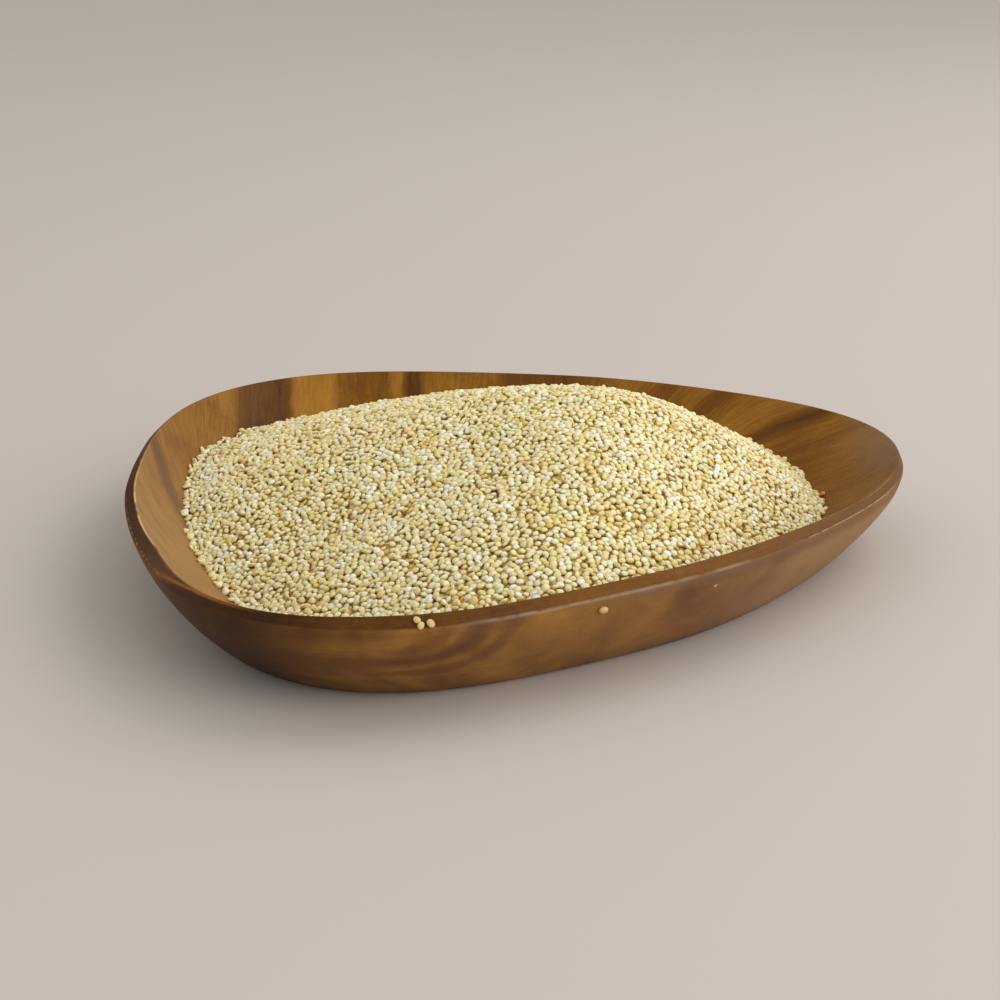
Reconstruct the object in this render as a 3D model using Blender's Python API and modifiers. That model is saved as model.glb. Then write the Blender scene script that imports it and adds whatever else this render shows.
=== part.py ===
# A shallow dish carved from one piece of wood, with a loose heap of quinoa in it.
# Metres, +Z up. The origin is the middle of the flat foot, and one corner of the dish points along +X.

import math
import random

import bmesh
import bpy
import numpy as np
from mathutils import Vector, noise

# Outline of the dish from above: a rounded triangle about a mean radius
RIM_RADIUS = 0.1186
CORNER_SWELL = 0.0120
SIDE_FLATTENING = 0.00195
CARVED_UNEVENNESS = 0.0009

# Section of the dish: crisp inner edge, sloping lip outside it, bowed outer wall, hollowed inside
RIM_HEIGHT = 0.0300
LIP_RUN = 0.0034
LIP_DROP = 0.0029
WALL_RUN = 0.0219
WALL_BOW = 1.23
FLOOR_HEIGHT = 0.0065
HOLLOW_RUN = 0.0280
HOLLOW_EASE = 0.68
BASE_RADIUS = 0.1000
BASE_CORNER_SHARE = 0.77

# The lip narrows at the pointed corner and is worn soft at the corner two thirds of the way round
POINT_BEARING = math.radians(0.0)
POINT_LIP_SHARE = 0.30
WORN_BEARING = math.radians(240.0)
WORN_LIP_SHARE = 0.35
LIP_CHANGE_SPREAD = math.radians(15.0)

# Heap: where its top is, and how high it meets the dish at each twelfth of a turn, from +X
HEAP_TOP = (0.0378, 0.0160)
HEAP_TOP_HEIGHT = 0.0474
HEAP_FLANK_POWER = 1.5
HEAP_EDGE_HEIGHTS = (0.0104, 0.0177, 0.0195, 0.0176, 0.0175, 0.0170,
                     0.0116, 0.0070, 0.0093, 0.0215, 0.0180, 0.0095)
LOWEST_EDGE_LEVEL = 0.015  # share of the hollow's height that the edge never sinks below
HEAP_GAP = 0.0004
LUMP_HEIGHT = 0.0007
LUMP_SIZE = 0.024

# Grain-sized bumps of the heap
GRAIN_RISE = 0.0008
GRAIN_SHIFT = 0.0006
EDGE_RAGGEDNESS = 0.0007
GRAIN_SEED = 11

# Fineness
TURN_STEPS = 96
OUTER_LEVELS = 7
INNER_LEVELS = 8
HEAP_RINGS = 34
RING_SIDES = 6
UNDERSIDE_STEPS = 68
UNDERSIDE_LEVELS = 4
FLAT_RING_RADIUS = 0.0500
WALL_CROWDING = 1.5
UNDERSIDE_CROWDING = 1.4
LUMP_FADE_POWER = 4
EDGE_CALM_RINGS = 2
SLOPE_STEP = 0.01
MERGE_DISTANCE = 0.00001
SHARP_ANGLE = math.radians(32.0)
FULL_TURN = 2.0 * math.pi

WOOD_COLOUR = (0.205, 0.093, 0.038, 1.0)
GRAIN_COLOUR = (0.640, 0.520, 0.300, 1.0)
WOOD_ROUGHNESS = 0.48
GRAIN_ROUGHNESS = 0.60


def clear_scene():
    for thing in list(bpy.data.objects):
        bpy.data.objects.remove(thing, do_unlink=True)


def make_material(name, colour, roughness):
    material = bpy.data.materials.new(name)
    material.use_nodes = True
    shader = material.node_tree.nodes["Principled BSDF"]
    shader.inputs["Base Color"].default_value = colour
    shader.inputs["Roughness"].default_value = roughness
    shader.inputs["Metallic"].default_value = 0.0
    return material


def wood_material():
    return make_material("acacia_wood", WOOD_COLOUR, WOOD_ROUGHNESS)


def quinoa_material():
    return make_material("quinoa_grain", GRAIN_COLOUR, GRAIN_ROUGHNESS)


def nearness(bearing, centre, spread):
    # 1 at the centre bearing, falling smoothly to 0 away from it
    away = (bearing - centre + math.pi) % FULL_TURN - math.pi
    return math.exp(-(away / spread) ** 2)


def outline_swell(bearing):
    corners = CORNER_SWELL * math.cos(3 * bearing)
    sides = SIDE_FLATTENING * math.cos(6 * bearing)
    return corners + sides - CARVED_UNEVENNESS * math.cos(4 * bearing)


def corner_share(radius):
    # The foot is rounder than the rim, and the middle is round
    inside = min(1.0, radius / BASE_RADIUS)
    outside = (radius - BASE_RADIUS) / (RIM_RADIUS - BASE_RADIUS)
    return BASE_CORNER_SHARE * inside + (1 - BASE_CORNER_SHARE) * min(1.0, max(0.0, outside))


def lip_share(bearing):
    at_point = (1 - POINT_LIP_SHARE) * nearness(bearing, POINT_BEARING, LIP_CHANGE_SPREAD)
    where_worn = (1 - WORN_LIP_SHARE) * nearness(bearing, WORN_BEARING, LIP_CHANGE_SPREAD)
    return 1 - at_point - where_worn


def shaped_radius(radius, bearing):
    # From the radius of a round, turned dish to that of the three-cornered one
    beyond_rim = max(0.0, radius - RIM_RADIUS) * lip_share(bearing)
    return min(radius, RIM_RADIUS) + beyond_rim + corner_share(radius) * outline_swell(bearing)


def hollow_point(level):
    # Inner wall: level 0 on the floor, 1 at the rim's crisp edge
    radius = RIM_RADIUS - HOLLOW_RUN * (1 - level ** HOLLOW_EASE)
    return radius, FLOOR_HEIGHT + level * (RIM_HEIGHT - FLOOR_HEIGHT)


def outer_point(level):
    # Outer wall: level 0 at the foot, 1 at the lip's outer edge
    inset = 1 - (1 - (1 - level) ** WALL_BOW) ** (1 / WALL_BOW)
    return RIM_RADIUS + LIP_RUN - WALL_RUN * inset, level * (RIM_HEIGHT - LIP_DROP)


def dish_section():
    # From the middle of the floor, up the hollow, over the lip and down to the middle of the foot
    section = [(0.0, FLOOR_HEIGHT), (FLAT_RING_RADIUS, FLOOR_HEIGHT)]
    for step in range(INNER_LEVELS + 1):
        section.append(hollow_point((step / INNER_LEVELS) ** WALL_CROWDING))
    for step in range(OUTER_LEVELS + 1):
        section.append(outer_point(1 - step / OUTER_LEVELS))
    section += [(FLAT_RING_RADIUS, 0.0), (0.0, 0.0)]
    return section


def turned_mesh(section):
    # A profile turned about Z by the Screw modifier
    profile = bpy.data.meshes.new("section")
    points = [(radius, 0.0, height) for radius, height in section]
    edges = [(i, i + 1) for i in range(len(points) - 1)]
    profile.from_pydata(points, edges, [])
    turned = bpy.data.objects.new("section", profile)
    bpy.context.scene.collection.objects.link(turned)
    screw = turned.modifiers.new("turn", "SCREW")
    screw.axis = "Z"
    screw.angle = FULL_TURN
    screw.steps = TURN_STEPS
    screw.render_steps = TURN_STEPS
    screw.use_merge_vertices = True
    screw.merge_threshold = MERGE_DISTANCE
    bpy.context.view_layer.update()
    graph = bpy.context.evaluated_depsgraph_get()
    mesh = bpy.data.meshes.new_from_object(turned.evaluated_get(graph))
    bpy.data.objects.remove(turned, do_unlink=True)
    return mesh


def add_object(name, mesh, material, collection):
    mesh.name = name
    mesh.materials.clear()
    mesh.materials.append(material)
    mesh.shade_smooth()
    mesh.set_sharp_from_angle(angle=SHARP_ANGLE)
    thing = bpy.data.objects.new(name, mesh)
    collection.objects.link(thing)
    return thing


def build_dish(collection):
    mesh = turned_mesh(dish_section())
    shape = bmesh.new()
    shape.from_mesh(mesh)
    bmesh.ops.remove_doubles(shape, verts=shape.verts, dist=MERGE_DISTANCE)
    for point in shape.verts:
        radius = math.hypot(point.co.x, point.co.y)
        if radius > MERGE_DISTANCE:
            bearing = math.atan2(point.co.y, point.co.x)
            scale = shaped_radius(radius, bearing) / radius
            point.co.x *= scale
            point.co.y *= scale
    bmesh.ops.triangulate(shape, faces=shape.faces)
    shape.to_mesh(mesh)
    shape.free()
    return add_object("dish", mesh, wood_material(), collection)


def hollow_surface(level, bearing):
    # A point just clear of the inner wall, on the dish's side of the heap
    low = hollow_point(max(0.0, level - SLOPE_STEP))
    high = hollow_point(min(1.0, level + SLOPE_STEP))
    run = high[0] - low[0]
    rise = high[1] - low[1]
    length = math.hypot(run, rise)
    radius, height = hollow_point(level)
    radius = shaped_radius(radius, bearing) - HEAP_GAP * rise / length
    height += HEAP_GAP * run / length
    return Vector((radius * math.cos(bearing), radius * math.sin(bearing), height))


def edge_height(bearing):
    # Smooth curve through the heights where the heap meets the dish
    count = len(HEAP_EDGE_HEIGHTS)
    place = (bearing % FULL_TURN) / FULL_TURN * count
    first = int(place)
    share = place - first
    before, start, end, after = (HEAP_EDGE_HEIGHTS[(first + k) % count] for k in (-1, 0, 1, 2))
    slope_in = (end - before) / 2
    slope_out = (after - start) / 2
    cubic = 2 * (start - end) + slope_in + slope_out
    square = 3 * (end - start) - 2 * slope_in - slope_out
    return ((cubic * share + square) * share + slope_in) * share + start


def edge_level(bearing, raise_by=0.0):
    height = edge_height(bearing) + raise_by
    return max(LOWEST_EDGE_LEVEL, (height - FLOOR_HEIGHT) / (RIM_HEIGHT - FLOOR_HEIGHT))


def edge_seen_from_top():
    # Bearing, distance and height of the heap's edge, all seen from the heap's top
    rows = []
    for degree in range(360):
        bearing = math.radians(degree)
        point = hollow_surface(edge_level(bearing), bearing)
        along = point.x - HEAP_TOP[0]
        across = point.y - HEAP_TOP[1]
        rows.append((math.atan2(across, along) % FULL_TURN, math.hypot(along, across), point.z))
    return np.array(sorted(rows))


def heap_height(x, y, seen):
    along = x - HEAP_TOP[0]
    across = y - HEAP_TOP[1]
    bearing = math.atan2(across, along) % FULL_TURN
    reach = np.interp(bearing, seen[:, 0], seen[:, 1], period=FULL_TURN)
    foot = np.interp(bearing, seen[:, 0], seen[:, 2], period=FULL_TURN)
    share = min(1.0, math.hypot(along, across) / reach)
    lump = LUMP_HEIGHT * noise.noise(Vector((x, y, 0.0)) / LUMP_SIZE) * (1 - share ** LUMP_FADE_POWER)
    return foot + (HEAP_TOP_HEIGHT - foot) * (1 - share ** HEAP_FLANK_POWER) + lump


def heap_top_ring(ring, seen, draw):
    # One ring of the bumpy top, with one point more on each of its sides than the ring inside it
    count = max(1, RING_SIDES * ring)
    share = ring / HEAP_RINGS
    points = []
    for step in range(count):
        bearing = FULL_TURN * step / count
        ragged = draw.uniform(-EDGE_RAGGEDNESS, EDGE_RAGGEDNESS)
        edge = hollow_surface(edge_level(bearing, ragged), bearing)
        if ring == HEAP_RINGS:
            points.append(edge)
            continue
        calm = min(1.0, (HEAP_RINGS - ring) / EDGE_CALM_RINGS)
        x = edge.x * share + calm * draw.uniform(-GRAIN_SHIFT, GRAIN_SHIFT)
        y = edge.y * share + calm * draw.uniform(-GRAIN_SHIFT, GRAIN_SHIFT)
        rise = calm * draw.uniform(-GRAIN_RISE, GRAIN_RISE)
        points.append(Vector((x, y, heap_height(x, y, seen) + rise)))
    return points


def heap_under_ring(level_step):
    # One ring of the underside, which follows the hollow of the dish
    share = 1 - level_step / UNDERSIDE_LEVELS
    points = []
    for step in range(UNDERSIDE_STEPS):
        bearing = FULL_TURN * step / UNDERSIDE_STEPS
        points.append(hollow_surface(edge_level(bearing) * share ** UNDERSIDE_CROWDING, bearing))
    return points


def stitch_growing_rings(shape, inner, outer):
    # Triangles between a ring and the next one out
    steps = len(outer) // RING_SIDES
    for side in range(RING_SIDES):
        for step in range(steps):
            near = outer[side * steps + step]
            far = outer[(side * steps + step + 1) % len(outer)]
            here = inner[(side * (steps - 1) + step) % len(inner)]
            shape.faces.new((here, near, far))
            if step < steps - 1:
                there = inner[(side * (steps - 1) + step + 1) % len(inner)]
                shape.faces.new((here, far, there))


def stitch_coarser_ring(shape, fine, coarse):
    # Triangles from the heap's edge down to a ring with fewer points
    ratio = len(fine) // len(coarse)
    for step, here in enumerate(coarse):
        there = coarse[(step + 1) % len(coarse)]
        for part in range(ratio):
            near = fine[step * ratio + part]
            far = fine[(step * ratio + part + 1) % len(fine)]
            shape.faces.new((near, here, far) if part < ratio - 1 else (near, here, there))
        shape.faces.new((near, there, far))


def build_heap(collection):
    draw = random.Random(GRAIN_SEED)
    seen = edge_seen_from_top()
    shape = bmesh.new()
    rings = []
    for ring in range(HEAP_RINGS + 1):
        rings.append([shape.verts.new(point) for point in heap_top_ring(ring, seen, draw)])
    for inner, outer in zip(rings, rings[1:]):
        stitch_growing_rings(shape, inner, outer)
    below = [[shape.verts.new(point) for point in heap_under_ring(step)]
             for step in range(1, UNDERSIDE_LEVELS + 1)]
    stitch_coarser_ring(shape, rings[-1], below[0])
    for upper, lower in zip(below, below[1:]):
        for step in range(UNDERSIDE_STEPS):
            after = (step + 1) % UNDERSIDE_STEPS
            shape.faces.new((upper[step], lower[step], lower[after], upper[after]))
    middle = shape.verts.new((0.0, 0.0, FLOOR_HEIGHT + HEAP_GAP))
    for step in range(UNDERSIDE_STEPS):
        shape.faces.new((below[-1][step], middle, below[-1][(step + 1) % UNDERSIDE_STEPS]))
    bmesh.ops.triangulate(shape, faces=shape.faces)
    bmesh.ops.recalc_face_normals(shape, faces=shape.faces)
    mesh = bpy.data.meshes.new("quinoa")
    shape.to_mesh(mesh)
    shape.free()
    return add_object("quinoa", mesh, quinoa_material(), collection)


def main():
    clear_scene()
    collection = bpy.data.collections.new("dish_of_quinoa")
    bpy.context.scene.collection.children.link(collection)
    build_dish(collection)
    build_heap(collection)


main()
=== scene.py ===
import math

import bpy
import numpy as np
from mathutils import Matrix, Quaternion, Vector, noise
from mathutils.bvhtree import BVHTree
from mathutils.kdtree import KDTree


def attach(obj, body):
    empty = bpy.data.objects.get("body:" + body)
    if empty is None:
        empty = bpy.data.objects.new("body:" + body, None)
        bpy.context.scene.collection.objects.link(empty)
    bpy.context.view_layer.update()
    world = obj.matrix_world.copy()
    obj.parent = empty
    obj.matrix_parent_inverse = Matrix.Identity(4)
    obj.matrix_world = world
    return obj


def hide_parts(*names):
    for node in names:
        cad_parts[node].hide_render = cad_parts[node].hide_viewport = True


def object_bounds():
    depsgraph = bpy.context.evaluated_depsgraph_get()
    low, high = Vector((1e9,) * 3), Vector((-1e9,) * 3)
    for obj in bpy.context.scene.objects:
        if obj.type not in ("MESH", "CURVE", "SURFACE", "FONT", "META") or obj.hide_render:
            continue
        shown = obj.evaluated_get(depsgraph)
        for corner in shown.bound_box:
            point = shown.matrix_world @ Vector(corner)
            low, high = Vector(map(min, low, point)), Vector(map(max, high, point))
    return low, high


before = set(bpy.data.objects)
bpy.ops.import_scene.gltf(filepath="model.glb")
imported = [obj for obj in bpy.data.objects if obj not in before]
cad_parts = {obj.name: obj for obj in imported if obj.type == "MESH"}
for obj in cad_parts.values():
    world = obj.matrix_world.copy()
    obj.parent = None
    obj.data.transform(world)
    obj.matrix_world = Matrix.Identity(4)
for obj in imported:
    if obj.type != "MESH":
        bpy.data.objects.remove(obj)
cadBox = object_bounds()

print("frame loaded")

mm = 0.001
fullTurn = 2 * math.pi


def deselectAll():
    if bpy.context.mode != "OBJECT":
        bpy.ops.object.mode_set(mode="OBJECT")
    bpy.ops.object.select_all(action="DESELECT")


def editAll(piece):
    # into edit mode with all of the piece selected
    deselectAll()
    bpy.context.view_layer.objects.active = piece
    piece.select_set(True)
    bpy.ops.object.mode_set(mode="EDIT")
    bpy.ops.mesh.select_all(action="SELECT")


def newObject(name, data):
    made = bpy.data.objects.new(name, data)
    bpy.context.scene.collection.objects.link(made)
    return made


def paint(code):
    # "#rrggbb" as a linear colour
    parts = [int(code[at:at + 2], 16) / 255 for at in (1, 3, 5)]
    linear = [p / 12.92 if p <= 0.04045 else ((p + 0.055) / 1.055) ** 2.4 for p in parts]
    return (*linear, 1.0)


def pointsOf(mesh):
    flat = np.zeros(len(mesh.vertices) * 3)
    mesh.vertices.foreach_get("co", flat)
    return flat.reshape(-1, 3)


def putPoints(mesh, points):
    mesh.vertices.foreach_set("co", np.asarray(points, dtype=np.float32).ravel())
    mesh.update()


def keepNumber(mesh, name, values):
    # one number a vertex, for a material to read
    layer = mesh.attributes.new(name, "FLOAT", "POINT")
    layer.data.foreach_set("value", np.asarray(values, dtype=np.float32))


def nearBearing(bearing, centre, spread):
    # 1 at the centre bearing, in degrees, falling smoothly to 0 away from it
    away = (bearing - math.radians(centre) + math.pi) % fullTurn - math.pi
    return np.exp(-(away / math.radians(spread)) ** 2)


def turnOf(bearing):
    # a bearing in degrees as the materials count it: 0 to 1 round the dish, starting at 180
    return (bearing + 180) % 360 / 360


class Wire:
    # one socket in a material: arithmetic on it adds Math nodes
    def __init__(self, tree, socket=None):
        self.tree = tree
        self.socket = socket

    def node(self, kind, output=0, settings=None, values=None):
        made = self.tree.nodes.new(kind)
        for name, value in (settings or {}).items():
            if name == "stops":
                self.setStops(made.color_ramp, value)
            else:
                setattr(made, name, value)
        for name, value in (values or {}).items():
            if isinstance(value, Wire):
                self.tree.links.new(value.socket, made.inputs[name])
            else:
                made.inputs[name].default_value = value
        return Wire(self.tree, made.outputs[output] if made.outputs else None)

    def setStops(self, ramp, stops):
        for place, colour in stops[2:]:
            ramp.elements.new(place)
        for element, (place, colour) in zip(ramp.elements, sorted(stops)):
            element.position = place
            element.color = colour if hasattr(colour, "__len__") else (colour, colour, colour, 1)

    def math(self, operation, second=0.0, third=0.0):
        return self.node("ShaderNodeMath", settings={"operation": operation},
                         values={0: self, 1: second, 2: third})

    def __add__(self, other):
        return self.math("ADD", other)

    def __sub__(self, other):
        return self.math("SUBTRACT", other)

    def __mul__(self, other):
        return self.math("MULTIPLY", other)

    def __truediv__(self, other):
        return self.math("DIVIDE", other)

    def __rsub__(self, other):
        return (self * -1.0) + other

    __radd__ = __add__

    def between(self, low, high):
        # 0 below low, 1 above high, smooth in between
        return self.node("ShaderNodeMapRange", settings={"interpolation_type": "SMOOTHSTEP"},
                         values={"Value": self, "From Min": low, "From Max": high})

    def near(self, centre, width):
        # 1 at the centre, 0 further away than the width
        away = (self - centre).math("ABSOLUTE")
        return 1 - away.between(0.0, width)

    def nearBearing(self, centre, width):
        # the same round the dish, in degrees, where self is a turn
        away = (self - turnOf(centre)).math("WRAP", 0.5, -0.5).math("ABSOLUTE")
        return 1 - away.between(0.0, width / 360)

    def fromTo(self, rises, full, fades, ends):
        # bearings in degrees: 1 from full to fades, where self is a turn
        return self.between(turnOf(rises), turnOf(full)) * (1 - self.between(turnOf(fades), turnOf(ends)))

    def mix(self, first, second):
        # self is the share of the second colour
        return self.node("ShaderNodeMix", output=2, settings={"data_type": "RGBA"},
                         values={0: self, 6: first, 7: second})

    def ramp(self, stops):
        return self.node("ShaderNodeValToRGB", settings={"stops": stops}, values={"Fac": self})

    def noise(self, scale, detail=3.0, roughness=0.5, distortion=0.0):
        # self is the place
        return self.node("ShaderNodeTexNoise", values={"Vector": self, "Scale": scale, "Detail": detail,
                                                       "Roughness": roughness, "Distortion": distortion})

    def place(self):
        return self.node("ShaderNodeTexCoord", output="Object")

    def kept(self, name):
        # a number kept on each vertex
        return self.node("ShaderNodeAttribute", output="Fac", settings={"attribute_name": name})

    def bump(self, strength, distance):
        # self is the height
        return self.node("ShaderNodeBump",
                         values={"Strength": strength, "Distance": distance, "Height": self})

    def stretched(self, x, y, z):
        return self.node("ShaderNodeVectorMath", settings={"operation": "MULTIPLY"},
                         values={0: self, 1: (x, y, z)})

    def plus(self, other):
        return self.node("ShaderNodeVectorMath", settings={"operation": "ADD"},
                         values={0: self, 1: other})


def newMaterial(name):
    material = bpy.data.materials.new(name)
    material.use_nodes = True
    material.node_tree.nodes.clear()
    return material, Wire(material.node_tree)


def finishMaterial(start, values):
    shader = start.node("ShaderNodeBsdfPrincipled", values=values)
    start.node("ShaderNodeOutputMaterial", values={"Surface": shader})


dish = {
    "rimRadius": 118.6 * mm, "cornerSwell": 12.0 * mm, "sideFlattening": 1.95 * mm, "unevenness": 0.9 * mm,
    "rimHeight": 30.0 * mm, "lipRun": 3.4 * mm, "lipDrop": 2.9 * mm,
    "wallRun": 21.9 * mm, "wallBow": 1.23,
    "floorHeight": 6.5 * mm, "hollowRun": 28.0 * mm, "hollowEase": 0.68,
    "baseRadius": 100.0 * mm, "baseCornerShare": 0.77,
    "point": 0.0, "pointLip": 0.30, "worn": 240.0, "wornLip": 0.35, "lipChange": 15.0,
    "around": 384, "outerSteps": 26, "innerSteps": 26, "cornerSteps": 5, "bevelSteps": 4,
    "flatRings": (20 * mm, 50 * mm, 80 * mm), "centreReach": 1 * mm, "footTop": 1 * mm,
    "wallStart": 0.06, "wallLength": 27 * mm, "hollowLength": 23 * mm, "bevelLength": 4.47 * mm,
    # how far the corners of the foot, lip and ridge are rounded, and how far where they are worn
    "crisp": (1.6 * mm, 0.9 * mm, 0.45 * mm),
    "soft": (1.6 * mm, 2.0 * mm, 1.1 * mm),
    "softPlaces": ((227.0, 12.0, 1.0), (353.0, 15.0, 0.7)),   # bearing, spread, share
    # bearing, spread, how far the ridge moves inward and down
    "ridgeShifts": ((211.0, 9.0, 1.3 * mm, 0.0), (248.0, 10.0, 1.3 * mm, 0.0),
                    (332.0, 14.0, -1.0 * mm, 0.9 * mm)),
    "ridgeFade": 20.0, "lipWidth": 4.45,   # in millimetres over the section
    "carving": 0.16 * mm, "carvingSize": 26 * mm, "carvedTo": 40.0,
}


def rounded(before, corner, after, reach, steps):
    # a bend of given reach in place of a sharp corner
    before, corner, after = (np.array(p, dtype=float) for p in (before, corner, after))
    start = corner + (before - corner) / np.linalg.norm(before - corner) * reach
    end = corner + (after - corner) / np.linalg.norm(after - corner) * reach
    return [tuple((1 - t) ** 2 * start + 2 * t * (1 - t) * corner + t ** 2 * end)
            for t in np.arange(steps + 1) / steps]


def outerWall(level):
    inset = 1 - (1 - (1 - level) ** dish["wallBow"]) ** (1 / dish["wallBow"])
    radius = dish["rimRadius"] + dish["lipRun"] - dish["wallRun"] * inset
    return radius, level * (dish["rimHeight"] - dish["lipDrop"])


def innerWall(level):
    radius = dish["rimRadius"] - dish["hollowRun"] * (1 - level ** dish["hollowEase"])
    return radius, dish["floorHeight"] + level * (dish["rimHeight"] - dish["floorHeight"])


def dishSection(rounding):
    # radius and height from the foot, up the outside, over the lip and down the hollow
    foot, lip, ridge = rounding
    footEdge, lipEdge, ridgeEdge = outerWall(0.0), outerWall(1.0), innerWall(1.0)
    wallEnd = 1 - lip / dish["wallLength"]
    hollowEnd = 1 - ridge / dish["hollowLength"]
    bevelEnds = lip / dish["bevelLength"], 1 - ridge / dish["bevelLength"]
    wall = [outerWall(level) for level in np.linspace(dish["wallStart"], wallEnd, dish["outerSteps"])]
    hollow = [innerWall(level) for level in np.linspace(hollowEnd, 0.0, dish["innerSteps"])]
    bevel = [(lipEdge[0] + (ridgeEdge[0] - lipEdge[0]) * t, lipEdge[1] + (ridgeEdge[1] - lipEdge[1]) * t)
             for t in np.linspace(*bevelEnds, dish["bevelSteps"] + 2)[1:-1]]
    section = [(radius, 0.0) for radius in dish["flatRings"]]
    section += rounded(section[-1], footEdge, wall[0], foot, dish["cornerSteps"])
    section += wall[1:-1]
    section += rounded(wall[-2], lipEdge, ridgeEdge, lip, dish["cornerSteps"])
    section += bevel
    section += rounded(lipEdge, ridgeEdge, hollow[1], ridge, dish["cornerSteps"])
    section += hollow[1:]
    section += [(radius, dish["floorHeight"]) for radius in reversed(dish["flatRings"])]
    return np.array(section)


def outlineSwell(bearing):
    # three corners, flatter sides, and a little unevenness
    return (dish["cornerSwell"] * np.cos(3 * bearing) + dish["sideFlattening"] * np.cos(6 * bearing)
            - dish["unevenness"] * np.cos(4 * bearing))


def threeCornered(radius, bearing):
    # from the radius of a round, turned dish to that of the three-cornered one
    inside = np.minimum(1, radius / dish["baseRadius"])
    outside = np.clip((radius - dish["baseRadius"]) / (dish["rimRadius"] - dish["baseRadius"]), 0, 1)
    share = dish["baseCornerShare"] * inside + (1 - dish["baseCornerShare"]) * outside
    lip = (1 - (1 - dish["pointLip"]) * nearBearing(bearing, dish["point"], dish["lipChange"])
           - (1 - dish["wornLip"]) * nearBearing(bearing, dish["worn"], dish["lipChange"]))
    beyond = np.maximum(0, radius - dish["rimRadius"]) * lip
    return np.minimum(radius, dish["rimRadius"]) + beyond + share * outlineSwell(bearing)


def lipPlaces(section):
    # distance in millimetres over the section from the lip's outer edge: the outside is below 0
    steps = np.linalg.norm(np.diff(section, axis=0), axis=1)
    run = np.concatenate([[0], np.cumsum(steps)]) / mm
    edge = np.argmin(np.linalg.norm(section - np.array(outerWall(1.0)), axis=1))
    return run - run[edge]


def turnDish(section):
    # a round dish: one circle, drawn up the section ring by ring, and closed at both ends
    deselectAll()
    radius, height = section[0]
    bpy.ops.mesh.primitive_circle_add(vertices=dish["around"], radius=radius, location=(0, 0, height))
    piece = bpy.context.active_object
    piece.name = "carvedDish"
    bpy.ops.object.transform_apply(location=True)
    bpy.ops.object.mode_set(mode="EDIT")
    bpy.ops.mesh.select_all(action="SELECT")
    for (fromRadius, fromHeight), (toRadius, toHeight) in zip(section, section[1:]):
        bpy.ops.mesh.extrude_region_move(TRANSFORM_OT_translate={"value": (0, 0, toHeight - fromHeight)})
        grow = toRadius / fromRadius
        bpy.ops.transform.resize(value=(grow, grow, 1), center_override=(0, 0, toHeight))
    bpy.ops.mesh.edge_face_add()
    bpy.ops.mesh.poke()
    bpy.ops.mesh.select_all(action="DESELECT")
    bpy.ops.mesh.select_mode(type="EDGE")
    bpy.ops.mesh.select_non_manifold()
    bpy.ops.mesh.edge_face_add()
    bpy.ops.mesh.poke()
    bpy.ops.mesh.select_all(action="SELECT")
    bpy.ops.mesh.normals_make_consistent(inside=False)
    bpy.ops.object.mode_set(mode="OBJECT")
    return piece


def makeDish():
    section = dishSection(dish["crisp"])
    piece = turnDish(section)
    points = pointsOf(piece.data)
    radius = np.hypot(points[:, 0], points[:, 1])
    bearing = np.arctan2(points[:, 1], points[:, 0])
    aside = radius[:, None] - section[:, 0]
    above = points[:, 2][:, None] - section[:, 1]
    level = np.argmin(aside ** 2 + above ** 2, axis=1)

    # softer rims where they are worn, then from round to three-cornered
    softer = (dishSection(dish["soft"]) - section)[level]
    worn = sum(share * nearBearing(bearing, centre, spread) for centre, spread, share in dish["softPlaces"])
    outer = radius > dish["centreReach"]
    radius = np.where(outer, radius + worn * softer[:, 0], radius)
    points[:, 2] = np.where(outer, points[:, 2] + worn * softer[:, 1], points[:, 2])
    reach = threeCornered(radius, bearing)

    # small shifts of the ridge's line, and the waviness of carving
    places = lipPlaces(section)[level]
    ridge = lipPlaces(section)[np.argmin(np.linalg.norm(section - np.array(innerWall(1.0)), axis=1))]
    share = np.clip(places / ridge, 0, 1) * np.clip(1 - (places - ridge) / dish["ridgeFade"], 0, 1)
    for centre, spread, inward, down in dish["ridgeShifts"]:
        reach -= inward * share * nearBearing(bearing, centre, spread)
        points[:, 2] -= down * share * nearBearing(bearing, centre, spread)
    aboveFoot = points[:, 2] > dish["footTop"]
    for at in np.flatnonzero(aboveFoot & (places < dish["carvedTo"]) & outer):
        spot = Vector((math.cos(bearing[at]) * reach[at], math.sin(bearing[at]) * reach[at], points[at, 2]))
        reach[at] -= dish["carving"] * (1 + noise.noise(spot / dish["carvingSize"]))
    points[:, 0] = np.where(outer, reach * np.cos(bearing), 0)
    points[:, 1] = np.where(outer, reach * np.sin(bearing), 0)
    putPoints(piece.data, points)
    keepNumber(piece.data, "lipPlace", np.where(places > 0, places * dish["lipWidth"] / ridge, places))
    piece.data.shade_smooth()
    return piece


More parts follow.
